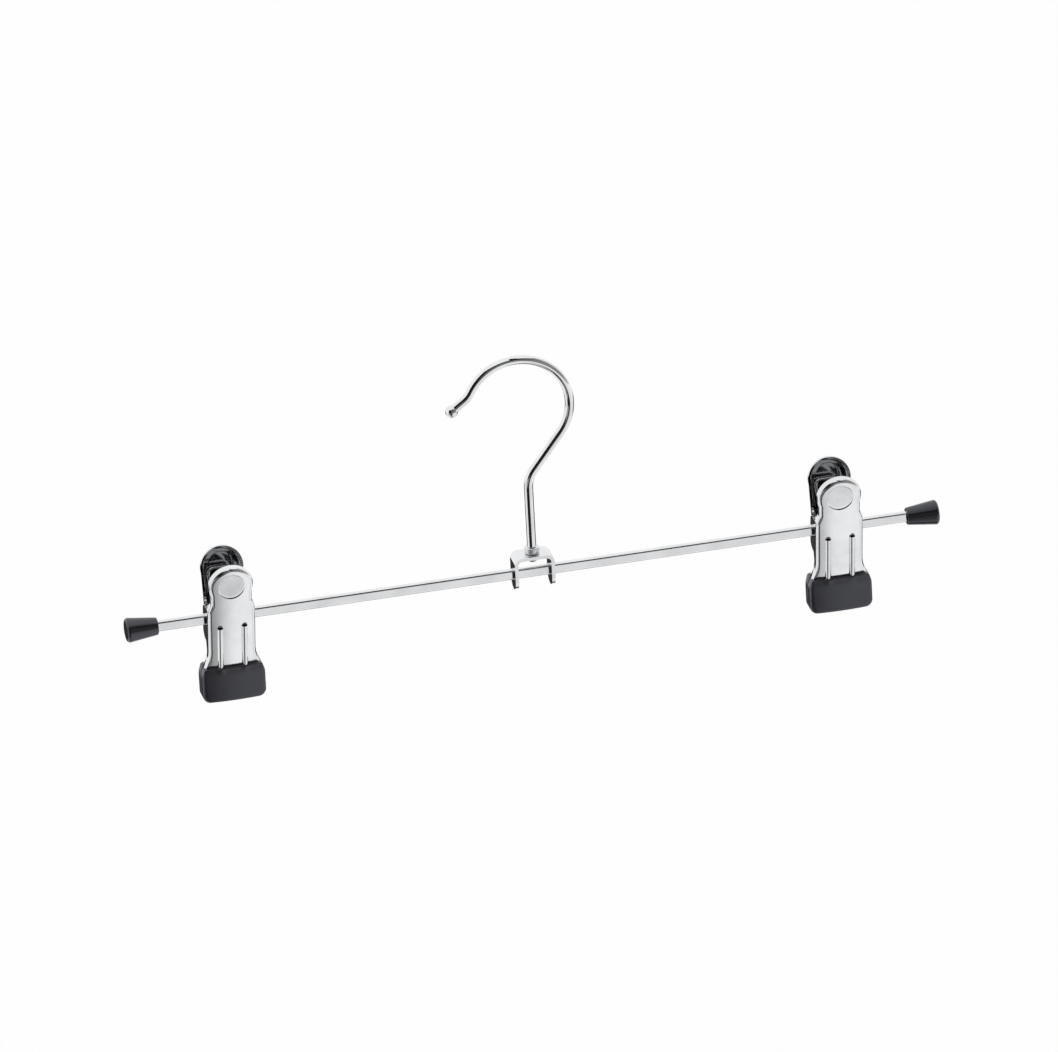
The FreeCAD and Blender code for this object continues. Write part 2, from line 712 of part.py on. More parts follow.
def spring_path():
    """Centre line of a spring about the X axis: foot, bend, leg, turns, leg, bend, foot."""
    radius = number("spring_mean / 2")
    leg = number("spring_leg")
    rise = number("spring_pitch") / (2 * math.pi)
    reach = number("jaw_offset - jaw_sheet - spring_wire / 2 - spring_seat")
    splay = math.asin(reach / math.hypot(radius, leg)) - math.atan2(radius, leg)
    lean = math.radians(number("jaw_lean")) + splay
    sweep = math.pi - 2 * lean + 2 * math.pi * number("spring_turns")
    quarters = round(sweep / (math.pi / 2))

    def on_coil(turn):
        return Vector(rise * (turn - sweep / 2), radius * math.cos(lean + turn), -radius * math.sin(lean + turn))

    def heading(turn):
        return Vector(rise, -radius * math.sin(lean + turn), -radius * math.cos(lean + turn)).normalize()

    turns = [sweep * index / quarters for index in range(quarters + 1)]
    coil = []
    for first, last in zip(turns, turns[1:]):
        coil += biarc(on_coil(first), heading(first), on_coil(last), heading(last))

    up = heading(0) * -1
    corner = on_coil(0) + up * leg
    set_back = number("spring_bend") * math.tan(math.acos(up.dot(ALONG)) / 2)
    before = corner - up * set_back
    after = corner + ALONG * set_back
    tip = corner + ALONG * number("spring_foot")
    near_end = [
        Part.LineSegment(tip, after).toShape(),
        arc_from(after, ALONG * -1, before).toShape(),
        Part.LineSegment(before, on_coil(0)).toShape(),
    ]
    half_turn = Placement(Vector(), Rotation(UP, 180))
    far_end = [edge.transformed(half_turn.toMatrix()) for edge in reversed(near_end)]
    return near_end + coil + far_end, tip


def least_self_gap(edges, wire):
    """Least air between stretches of a wire that are not neighbours, on points along its centre line."""
    points = []
    travelled = 0.0
    for edge in edges:
        count = 1 + math.ceil(edge.Length / POINT_STEP)
        line = edge.discretize(count)
        if points and (line[0] - points[-1][1]).Length > (line[-1] - points[-1][1]).Length:
            line.reverse()
        for index, point in enumerate(line):
            points.append((travelled + edge.Length * index / (count - 1), point))
        travelled += edge.Length
    return min(
        (second - first).Length - wire
        for index, (start, first) in enumerate(points)
        for end, second in points[index + 1:]
        if end - start > NEIGHBOUR_WIRES * wire
    )


def make_spring(side):
    """A torsion spring round the bar whose two bent feet push the levers apart."""
    edges, tip = spring_path()
    wire = number("spring_wire")
    gap = least_self_gap(edges, wire)
    print(f"{side}_spring least gap to itself {gap:.2f} mm")
    assert gap > SELF_GAP_LIMIT, "the spring's turns are too close"
    pipe = Part.BRepOffsetAPI.MakePipeShell(Part.Wire(edges))
    pipe.add(Part.Wire(Part.Circle(tip, ALONG, wire / 2).toShape()))
    pipe.build()
    pipe.makeSolid()
    spring = doc.addObject("Part::Feature", f"{side}_spring")
    spring.Shape = pipe.shape()
    middle = number(both_signs(CLIP_MIDDLE, SIDES[side]))
    spring.Placement = Placement(Vector(middle, 0, -number("bar_drop")), Rotation())
    return spring


def main():
    """Builds every piece, checks it and writes one file each."""
    pieces = [make_bar(), make_saddle(), make_hook()]
    for side in SIDES:
        pieces.append(make_cap(side))
        for place in OUTWARD:
            jaw = make_jaw(side, place)
            pieces += [jaw, make_boot(side, place, jaw)]
        pieces.append(make_spring(side))
    doc.recompute()
    for thing in doc.Objects:
        bad = {"Invalid", "Error"} & set(thing.State)
        assert not bad, f"{thing.Label}: {thing.State} {thing.getStatusString()}"
    os.makedirs("parts", exist_ok=True)
    for piece in pieces:
        shape = piece.Shape
        assert not shape.isNull() and shape.isValid(), f"{piece.Label} has no valid shape"
        assert len(shape.Solids) == 1, f"{piece.Label} has {len(shape.Solids)} solids"
        shape.exportStep(f"parts/{piece.Label}.step")


main()
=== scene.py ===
"""Looks of a chrome skirt hanger with a swivel hook and two sliding spring clips.

Metres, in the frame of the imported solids: +X along the bar, -Y to the viewer, +Z up, origin where a
rail carries the hook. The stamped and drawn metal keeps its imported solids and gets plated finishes.
The dipped boots and the wound springs are built here and stand for their solids.
"""

from __future__ import annotations

import logging
import math
from dataclasses import dataclass
from enum import Enum
from functools import reduce
from typing import Any, Iterable, Mapping, Optional, Sequence, Union

import bmesh
import bpy
from mathutils import Matrix, Vector

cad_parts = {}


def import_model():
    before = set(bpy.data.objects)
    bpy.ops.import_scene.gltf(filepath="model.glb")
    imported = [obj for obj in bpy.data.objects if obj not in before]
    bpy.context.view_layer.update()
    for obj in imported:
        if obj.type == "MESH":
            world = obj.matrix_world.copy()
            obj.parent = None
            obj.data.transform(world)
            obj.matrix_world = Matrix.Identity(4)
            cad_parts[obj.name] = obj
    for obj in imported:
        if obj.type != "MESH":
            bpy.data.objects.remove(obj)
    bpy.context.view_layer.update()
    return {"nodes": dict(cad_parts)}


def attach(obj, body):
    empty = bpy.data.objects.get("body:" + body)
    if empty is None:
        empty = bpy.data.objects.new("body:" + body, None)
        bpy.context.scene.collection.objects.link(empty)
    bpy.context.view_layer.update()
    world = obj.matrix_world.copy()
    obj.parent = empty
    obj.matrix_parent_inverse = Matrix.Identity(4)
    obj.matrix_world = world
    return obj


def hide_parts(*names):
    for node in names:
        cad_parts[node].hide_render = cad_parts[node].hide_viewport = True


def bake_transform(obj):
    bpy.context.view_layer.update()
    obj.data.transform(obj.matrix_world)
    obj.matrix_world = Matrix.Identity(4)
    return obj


LOG = logging.getLogger("skirt_hanger")

# Heights are above the bar's axis, apart from the first
BAR_DROP = 0.0851  # from the origin down to the bar's axis
CLIP_MIDDLE = 0.116  # from the bar's middle to the middle of a clip
RIB_SPACING = 0.0092  # between the two ribs of a jaw
DISC_HEIGHT = 0.0168  # middle of a jaw's thumb disc
COLLAR_LOW = 0.0077  # foot of the hook's collar
COLLAR_HIGH = 0.0102  # top of the hook's collar

OCTAVE_SHARE = 0.55  # strength of each finer octave of noise
NOISE_MEAN = 0.5
WHITE = (1.0, 1.0, 1.0, 1.0)

Colour = tuple[float, float, float]
Point = tuple[float, float, float]
Pair = tuple[float, float]
Spot = tuple[Vector, float]


class Side(Enum):
    """Which half of the bar a clip sits on."""

    LEFT = -1
    RIGHT = 1

    @property
    def word(self) -> str:
        """The side's name in node names."""
        return self.name.lower()


class Place(Enum):
    """Which jaw of a clip a piece belongs to."""

    FRONT = -1
    BACK = 1

    @property
    def word(self) -> str:
        """The jaw's name in node names."""
        return self.name.lower()


class Sight(Enum):
    """Rays that see the white of the studio, as outputs of a Light Path node."""

    CAMERA = "Is Camera Ray"
    GLOSSY = "Is Glossy Ray"
    TRANSMISSION = "Is Transmission Ray"


class Value:
    """A number, colour or shader of a surface, as the output socket of a node."""

    def __init__(self, graph: Graph, socket: bpy.types.NodeSocket) -> None:
        """Wraps a socket.

        Args:
            graph: The node tree that the socket is in.
            socket: The output that carries the value.
        """
        self.graph = graph
        self.socket = socket

    def _math(self, operation: str, *operands: Operand) -> Value:
        """Adds a Math node on one or two operands."""
        return self.graph.add("ShaderNodeMath", {"operation": operation}, dict(enumerate(operands)))

    def __add__(self, other: Operand) -> Value:
        """Sum."""
        return self._math("ADD", self, other)

    def __radd__(self, other: Operand) -> Value:
        """Sum with a plain number first."""
        return self._math("ADD", other, self)

    def __sub__(self, other: Operand) -> Value:
        """Difference."""
        return self._math("SUBTRACT", self, other)

    def __rsub__(self, other: Operand) -> Value:
        """Difference from a plain number."""
        return self._math("SUBTRACT", other, self)

    def __mul__(self, other: Operand) -> Value:
        """Product."""
        return self._math("MULTIPLY", self, other)

    def __rmul__(self, other: Operand) -> Value:
        """Product with a plain number first."""
        return self._math("MULTIPLY", other, self)

    def __pow__(self, other: Operand) -> Value:
        """Power."""
        return self._math("POWER", self, other)

    def __rpow__(self, other: Operand) -> Value:
        """Power of a plain number."""
        return self._math("POWER", other, self)

    def __abs__(self) -> Value:
        """Size without sign."""
        return self._math("ABSOLUTE", self)

    def sign(self) -> Value:
        """-1, 0 or 1."""
        return self._math("SIGN", self)

    def largest(self, other: Operand) -> Value:
        """The larger of two numbers."""
        return self._math("MAXIMUM", self, other)

    def ramp(self, low: float, high: float) -> Value:
        """Runs from 0 to 1 between two bounds, easing in and out.

        Args:
            low: Where the result is 0. It may be the larger of the two.
            high: Where the result is 1.

        Returns:
            The mapped number.
        """
        sockets = {"Value": self, "From Min": low, "From Max": high}
        return self.graph.add("ShaderNodeMapRange", {"interpolation_type": "SMOOTHSTEP"}, sockets)


Operand = Union[Value, float]


class Graph:
    """The nodes of one material or world."""

    def __init__(self, tree: bpy.types.NodeTree) -> None:
        """Empties a node tree.

        Args:
            tree: The tree to fill.
        """
        self.tree = tree
        tree.nodes.clear()

    def add(
        self, kind: str, settings: Optional[Mapping[str, Any]] = None,
        sockets: Optional[Mapping[Any, Any]] = None, output: Any = 0,
    ) -> Value:
        """Adds a node of any kind.

        Args:
            kind: Blender's name of the node type.
            settings: Properties that are set first.
            sockets: A value or a link for each input, by name, identifier or index.
            output: The output to hand back, by name, identifier or index.

        Returns:
            The chosen output.
        """
        node = self.tree.nodes.new(kind)
        for name, setting in (settings or {}).items():
            setattr(node, name, setting)
        for key, given in (sockets or {}).items():
            socket = next((s for s in node.inputs if s.identifier == key), None) or node.inputs[key]
            if isinstance(given, Value):
                self.tree.links.new(given.socket, socket)
            else:
                socket.default_value = given
        found = next((s for s in node.outputs if s.identifier == output), None)
        if found is None and node.outputs:
            found = node.outputs[output]
        return Value(self, found)

    def place(self, stretch: Sequence[float]) -> Value:
        """Points of the surface in the object's frame, scaled along each axis."""
        points = self.add("ShaderNodeTexCoord", output="Object")
        return self.add("ShaderNodeMapping", {"vector_type": "POINT"}, {"Vector": points, "Scale": stretch})

    def across(self, axis: str, kind: str = "Object") -> Value:
        """One coordinate of the surface, or of its normal, in the object's frame."""
        points = self.add("ShaderNodeTexCoord", output=kind)
        return self.add("ShaderNodeSeparateXYZ", None, {"Vector": points}, axis)

    def noise(self, size: float, detail: float, stretch: Sequence[float] = (1.0, 1.0, 1.0)) -> Value:
        """Cloudy noise about NOISE_MEAN.

        Args:
            size: Width of its clouds in metres.
            detail: Octaves of finer clouds.
            stretch: Scaling of the pattern along each axis.

        Returns:
            The noise.
        """
        sockets = {
            "Vector": self.place(stretch), "Scale": 1.0 / size,
            "Detail": detail, "Roughness": OCTAVE_SHARE,
        }
        return self.add("ShaderNodeTexNoise", {"noise_dimensions": "3D"}, sockets, "Fac")

    def blend(self, amount: Operand, first: Union[Colour, Value], second: Union[Colour, Value]) -> Value:
        """A colour between two others.

        Args:
            amount: 0 for the first colour, 1 for the second.
            first: Linear colour.
            second: Linear colour.

        Returns:
            The mixed colour.
        """
        ends = [given if isinstance(given, Value) else (*given, 1.0) for given in (first, second)]
        sockets = {"Factor_Float": amount, "A_Color": ends[0], "B_Color": ends[1]}
        return self.add("ShaderNodeMix", {"data_type": "RGBA"}, sockets, "Result_Color")

    def bump(self, height: Value) -> Value:
        """A normal that follows a height in metres."""
        return self.add("ShaderNodeBump", None, {"Strength": 1.0, "Distance": 1.0, "Height": height})

    def surface(self, shader: Value) -> None:
        """Connects a material's surface."""
        self.add("ShaderNodeOutputMaterial", None, {"Surface": shader})


@dataclass(frozen=True)
class PlatedFinish:
    """Bright chrome plating on drawn wire or stamped sheet, with painted shade on the hollow side of a
    stamping.

    Attributes:
        name: Name of the material.
        pale: Colour of the clear plating.
        dull: Colour of its hazy patches.
        roughness: Least roughness.
        haze: Roughness that the hazy patches add.
        haze_size: Width of a hazy patch.
        haze_tint_band: Noise levels between which the colour turns dull.
        haze_gloss_band: Noise levels between which the roughness rises.
        spot_size: Width of the small dull spots.
        spot_band: Noise levels between which a spot shows.
        spot_gloss: Roughness that a spot adds.
        ripple_size: Width of the ripple in the plating.
        ripple_depth: Height of that ripple.
        drawn: Scaling of the drawing lines along each axis.
        drawn_size: Width of the drawing lines.
        drawn_depth: Height of the drawing lines.
        drawn_gloss: Roughness that the drawing lines add or take.
        hollow: How strongly the hollow side of a stamping gets painted shade and less roughness, 0 where
            there is none.
        hollow_band: Turn of the surface towards the other jaw at which the painted shade starts and is
            full.
        hollow_gloss: Share of the roughness that is taken away on the hollow side.
        hollow_shade_colour: Painted shade colour of the hollow side.
        disc: Roughness that a jaw's thumb disc adds, 0 where there is none.
        disc_edge: Radii at which the disc ends and is full.
        collar: Roughness that the hook's collar adds, 0 where there is none.
        collar_fade: Height over which the collar's roughness fades.
    """

    name: str
    pale: Colour = (0.84, 0.845, 0.855)
    dull: Colour = (0.76, 0.766, 0.78)
    roughness: float = 0.085
    haze: float = 0.07
    haze_size: float = 0.012
    haze_tint_band: Pair = (0.3, 0.7)
    haze_gloss_band: Pair = (0.35, 0.75)
    spot_size: float = 0.002
    spot_band: Pair = (0.62, 0.78)
    spot_gloss: float = 0.06
    ripple_size: float = 0.0045
    ripple_depth: float = 3.0e-6
    drawn: Sequence[float] = (1.0, 1.0, 1.0)
    drawn_size: float = 0.0006
    drawn_depth: float = 2.5e-7
    drawn_gloss: float = 0.05
    hollow: float = 0.0
    hollow_band: Pair = (-0.35, -0.7)
    hollow_gloss: float = 0.7
    hollow_shade_colour: Colour = (0.42, 0.425, 0.435)
    disc: float = 0.0
    disc_edge: Pair = (0.0052, 0.0048)
    collar: float = 0.0
    collar_fade: float = 0.0002

    def material(self) -> bpy.types.Material:
        """Builds the plating.

        Returns:
            The material.
        """
        made = bpy.data.materials.new(self.name)
        made.use_nodes = True
        graph = Graph(made.node_tree)
        haze = graph.noise(self.haze_size, detail=4.0)
        lines = graph.noise(self.drawn_size, detail=3.0, stretch=self.drawn)
        spots = graph.noise(self.spot_size, detail=2.0).ramp(*self.spot_band)
        ripple = graph.noise(self.ripple_size, detail=1.0)
        tint = graph.blend(haze.ramp(*self.haze_tint_band), self.pale, self.dull)
        gloss = self.roughness + haze.ramp(*self.haze_gloss_band) * self.haze
        gloss = gloss + (lines - NOISE_MEAN) * self.drawn_gloss + spots * self.spot_gloss
        # Painted shade: faces that turn towards the other jaw get a darker colour and less roughness.
        if self.hollow:
            inside = self.on_hollow(graph)
            tint = graph.blend(inside, tint, self.hollow_shade_colour)
            gloss = gloss * (1 - inside * self.hollow_gloss)
            gloss = gloss + self.on_disc(graph) * (1 - inside) * self.disc
        if self.collar:
            gloss = gloss + self.on_collar(graph) * self.collar
        height = ripple * self.ripple_depth + lines * self.drawn_depth
        shader = graph.add(
            "ShaderNodeBsdfPrincipled", None,
            {"Base Color": tint, "Metallic": 1.0, "Roughness": gloss, "Normal": graph.bump(height)},
        )
        graph.surface(shader)
        return made

    def on_hollow(self, graph: Graph) -> Value:
        """Mask of the painted shade: above 0 where a jaw's surface faces the other jaw, and 0 elsewhere."""
        outward = graph.across("Y").sign() * graph.across("Y", "Normal")
        return outward.ramp(*self.hollow_band) * self.hollow

    def on_disc(self, graph: Graph) -> Value:
        """Is 1 on the thumb disc near the top of a jaw, and 0 elsewhere.

        Args:
            graph: The material's nodes.

        Returns:
            The mask.
        """
        aside = abs(graph.across("X")) - CLIP_MIDDLE
        above = graph.across("Z") + (BAR_DROP - DISC_HEIGHT)
        return ((aside * aside + above * above) ** 0.5).ramp(*self.disc_edge)

    def on_collar(self, graph: Graph) -> Value:
        """Is 1 on the upset collar at the foot of the hook, and 0 elsewhere.

        Args:
            graph: The material's nodes.

        Returns:
            The mask.
        """
        above = graph.across("Z") + BAR_DROP
        foot = above.ramp(COLLAR_LOW - self.collar_fade, COLLAR_LOW)
        return foot * above.ramp(COLLAR_HIGH + self.collar_fade, COLLAR_HIGH)


@dataclass(frozen=True)
class MouldedFinish:
    """Black moulded or dipped plastic with a fine grain.

    Attributes:
        name: Name of the material.
        deep: Colour of the fresh plastic.
        worn: Colour of its worn patches.
        roughness: Mean roughness.
        specular: Strength of its reflections.
        sheen: Colour of its reflections.
        spread: Change of the roughness from patch to patch.
        grain_size: Width of the grain.
        grain_depth: Height of the grain.
        grain_gloss: Roughness that the grain adds or takes.
        flow_size: Width of the patches and flow marks.
        flow_depth: Height of the flow marks.
        flow_band: Noise levels between which a patch turns worn.
        flow_share: Share of the wear that follows the patches. Scuffs have the rest.
        scuff_size: Width of the scuffs.
        scuff_stretch: Scaling of the scuffs along each axis.
        scuff_band: Noise levels between which a scuff shows.
        scuff_gloss: Roughness that a scuff adds.
    """

    name: str
    deep: Colour = (0.008, 0.008, 0.0095)
    worn: Colour = (0.016, 0.016, 0.0185)
    roughness: float = 0.30
    specular: float = 0.92
    sheen: Colour = (0.87, 0.885, 1.0)
    spread: float = 0.14
    grain_size: float = 0.00045
    grain_depth: float = 4.0e-6
    grain_gloss: float = 0.08
    flow_size: float = 0.006
    flow_depth: float = 3.0e-5
    flow_band: Pair = (0.3, 0.7)
    flow_share: float = 0.7
    scuff_size: float = 0.0012
    scuff_stretch: Sequence[float] = (0.35, 1.0, 1.0)
    scuff_band: Pair = (0.58, 0.74)
    scuff_gloss: float = 0.06

    def material(self) -> bpy.types.Material:
        """Builds the plastic.

        Returns:
            The material.
        """
        made = bpy.data.materials.new(self.name)
        made.use_nodes = True
        graph = Graph(made.node_tree)
        clouds = graph.noise(self.flow_size, detail=3.0)
        grain = graph.noise(self.grain_size, detail=3.0)
        scuffs = graph.noise(self.scuff_size, detail=5.0, stretch=self.scuff_stretch)
        scuffs = scuffs.ramp(*self.scuff_band)
        wear = clouds.ramp(*self.flow_band) * self.flow_share + scuffs * (1 - self.flow_share)
        gloss = self.roughness + (clouds - NOISE_MEAN) * self.spread
        gloss = gloss + scuffs * self.scuff_gloss + (grain - NOISE_MEAN) * self.grain_gloss
        shader = graph.add(
            "ShaderNodeBsdfPrincipled", None,
            {
                "Base Color": graph.blend(wear, self.deep, self.worn),
                "Specular IOR Level": self.specular,
                "Specular Tint": (*self.sheen, 1.0),
                "Roughness": gloss,
                "Normal": graph.bump(grain * self.grain_depth + clouds * self.flow_depth),
            },
        )
        graph.surface(shader)
        return made


@dataclass(frozen=True)
class WireSweep:
    """Round wire along a path, made by a node tree with the wire's sizes as inputs.

    Attributes:
        radius: Radius of the wire.
        sides: Sides of its cross-section.
        step: Distance between cross-sections.
    """

    radius: float
    sides: int = 20
    step: float = 0.00025

    def tree(self) -> tuple[bpy.types.NodeTree, dict[str, str]]:
        """Builds the node tree.

        Returns:
            The tree, and the identifier of each named input.
        """
        tree = bpy.data.node_groups.new("wire_sweep", "GeometryNodeTree")
        new_socket = tree.interface.new_socket
        new_socket("Geometry", in_out="INPUT", socket_type="NodeSocketGeometry")
        new_socket("Geometry", in_out="OUTPUT", socket_type="NodeSocketGeometry")
        kinds = {"Radius": "Float", "Sides": "Int", "Step": "Float", "Finish": "Material"}
        inputs = {
            name: new_socket(name, in_out="INPUT", socket_type=f"NodeSocket{kind}").identifier
            for name, kind in kinds.items()
        }
        nodes, links = tree.nodes, tree.links
        given, result = nodes.new("NodeGroupInput"), nodes.new("NodeGroupOutput")
        resample = nodes.new("GeometryNodeResampleCurve")
        ring = nodes.new("GeometryNodeCurvePrimitiveCircle")
        sweep = nodes.new("GeometryNodeCurveToMesh")
        smooth = nodes.new("GeometryNodeSetShadeSmooth")
        real = nodes.new("GeometryNodeRealizeInstances")
        finish = nodes.new("GeometryNodeSetMaterial")
        resample.mode = "LENGTH"
        sweep.inputs["Fill Caps"].default_value = True
        for source, target in (
            (given.outputs["Geometry"], resample.inputs["Curve"]),
            (given.outputs["Step"], resample.inputs["Length"]),
            (given.outputs["Radius"], ring.inputs["Radius"]),
            (given.outputs["Sides"], ring.inputs["Resolution"]),
            (resample.outputs["Curve"], sweep.inputs["Curve"]),
            (ring.outputs["Curve"], sweep.inputs["Profile Curve"]),
            (sweep.outputs["Mesh"], smooth.inputs["Geometry"]),
            (smooth.outputs["Geometry"], real.inputs["Geometry"]),
            (real.outputs["Geometry"], finish.inputs["Geometry"]),
            (given.outputs["Finish"], finish.inputs["Material"]),
            (finish.outputs["Geometry"], result.inputs["Geometry"]),
        ):
            links.new(source, target)
        return tree, inputs

    def along(self, name: str, points: Sequence[Vector], finish: bpy.types.Material) -> bpy.types.Object:
        """Sweeps the wire along points.

        Args:
            name: Name of the piece.
            points: Points of the centre line.
            finish: Material of the wire.

        Returns:
            The wire as a plain mesh object.
        """
        line = bpy.data.curves.new(f"{name}_line", "CURVE")
        line.dimensions = "3D"
        spline = line.splines.new("POLY")
        spline.points.add(len(points) - 1)
        for target, point in zip(spline.points, points):
            target.co = (*point, 1.0)
        path = bpy.data.objects.new(f"{name}_line", line)
        bpy.context.scene.collection.objects.link(path)
        tree, inputs = self.tree()
        modifier = path.modifiers.new("wire", "NODES")
        modifier.node_group = tree
        settings = {"Radius": self.radius, "Sides": self.sides, "Step": self.step, "Finish": finish}
        for key, setting in settings.items():
            modifier[inputs[key]] = setting
        graph = bpy.context.evaluated_depsgraph_get()
        mesh = bpy.data.meshes.new_from_object(path.evaluated_get(graph))
        bpy.data.objects.remove(path)
        return new_piece(name, mesh)


def new_piece(name: str, mesh: bpy.types.Mesh) -> bpy.types.Object:
    """Links a mesh to the scene as an object at the origin.

    Args:
        name: Name of the object.
        mesh: Its mesh, already in place.

    Returns:
        The object.
    """
    made = bpy.data.objects.new(name, mesh)
    bpy.context.scene.collection.objects.link(made)
    return made


def dress(node: bpy.types.Object, finish: bpy.types.Material) -> None:
    """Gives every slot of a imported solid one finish.

    Args:
        node: The solid's object.
        finish: The material.
    """
    if not node.material_slots:
        node.data.materials.append(finish)
    for slot in node.material_slots:
        slot.material = finish


def arc_points(centre: Vector, start: Vector, towards: Vector, angle: float, count: int) -> list[Vector]:
    """Points of an arc.

    Args:
        centre: The arc's centre.
        start: From the centre to the arc's first point.
        towards: Direction in which the arc leaves that point, at right angles to start.
        angle: Turn in radians.
        count: Number of steps.

    Returns:
        The points, both ends among them.
    """
    across = towards.normalized() * start.length
    steps = [angle * index / count for index in range(count + 1)]
    return [centre + start * math.cos(turn) + across * math.sin(turn) for turn in steps]


@dataclass
class TorsionSpring:
    """The spring wound round the bar inside a clip, with a bent foot on each lever.

    Attributes:
        side: The clip that it is in.
        wire: Width of the wire.
        mean: Width of the coil, from wire middle to wire middle.
        turns: Full turns of the coil.
        pitch: Step of the coil along the bar per turn.
        leg: Length of a leg, up to the corner of its bend.
        foot: Length of the foot beyond that corner.
        bend: Radius of the bend.
        reach: Distance of the foot from the plane through the bar's axis that leans with the jaw.
        jaw_lean: Lean of that plane in degrees.
        samples: Steps along the coil.
        bend_steps: Steps along the bend.
        blend_half: Not used. Half of the depth over which the motion would pass from the clip to the lever.
    """

    side: Side
    wire: float = 0.0013
    mean: float = 0.0062
    turns: float = 4.0
    pitch: float = 0.0018
    leg: float = 0.018
    foot: float = 0.007
    bend: float = 0.0022
    reach: float = 0.00455
    jaw_lean: float = 10.0
    samples: int = 260
    bend_steps: int = 16
    blend_half: float = 0.0029

    def path(self) -> list[Vector]:
        """Works out the centre line from foot to foot.

        Returns:
            Its points, about the clip's own middle.
        """
        radius = self.mean / 2
        rise = self.pitch / (2 * math.pi)
        splay = math.asin(self.reach / math.hypot(radius, self.leg)) - math.atan2(radius, self.leg)
        lean = math.radians(self.jaw_lean) + splay
        sweep = math.pi - 2 * lean + 2 * math.pi * self.turns
        coil = []
        for index in range(self.samples + 1):
            turn = sweep * index / self.samples
            angle = lean + turn
            along = rise * (turn - sweep / 2)
            coil.append(Vector((along, radius * math.cos(angle), -radius * math.sin(angle))))
        up = Vector((-rise, radius * math.sin(lean), radius * math.cos(lean))).normalized()
        aside = Vector((1.0, 0.0, 0.0))
        corner = coil[0] + up * self.leg
        swing = math.acos(up.dot(aside))
        set_back = self.bend * math.tan(swing / 2)
        before = corner - up * set_back
        inward = (aside - up * up.dot(aside)).normalized()
        middle = before + inward * self.bend
        rounded = arc_points(middle, -inward * self.bend, up, swing, self.bend_steps)
        near_end = [corner + aside * self.foot, *reversed(rounded)]
        far_end = [Vector((-point.x, -point.y, point.z)) for point in reversed(near_end)]
        return near_end + coil + far_end

    def build(self, finish: bpy.types.Material) -> bpy.types.Object:
        """Winds the spring and hides the solid that it stands for.

        Args:
            finish: Material of the wire.

        Returns:
            The spring.
        """
        word = self.side.word
        middle = Vector((self.side.value * CLIP_MIDDLE, 0.0, -BAR_DROP))
        points = [middle + point for point in self.path()]
        made = WireSweep(self.wire / 2).along(f"{word}_wound_spring", points, finish)
        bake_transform(made)
        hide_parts(f"{word}_spring")
        return made


